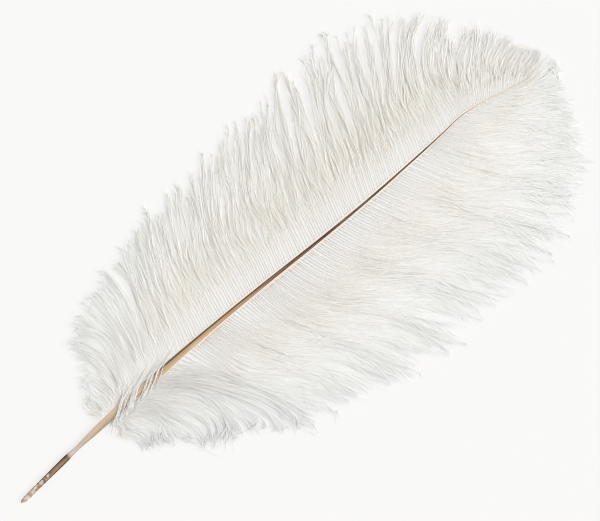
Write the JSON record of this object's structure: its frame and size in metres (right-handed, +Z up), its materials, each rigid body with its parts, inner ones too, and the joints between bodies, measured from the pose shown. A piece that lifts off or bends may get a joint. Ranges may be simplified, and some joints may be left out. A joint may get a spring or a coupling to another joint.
{
  "type": "ostrich feather",
  "caption": "White ostrich plume lying flat: a curved tapering shaft with a bare quill, and a broad soft vane of loose drooping barbs on each side.",
  "frame": {"origin": "bottom centre of the feather's bounding box, on the surface that the feather lies on", "axes": "+X along the feather from the quill's end to the plume's tip, +Y across towards the left vane, +Z up from the surface"},
  "size_m": [0.45, 0.206, 0.0078],
  "materials": {
    "shaft": "smooth horny keratin, pale and mottled at the quill and darker along the rachis",
    "barbs": "soft white down-like barbs, matt and slightly see-through"
  },
  "bodies": {
    "root": {"shaft": "shaft", "vane_left": "barbs", "vane_right": "barbs"}
  },
  "joints": []
}
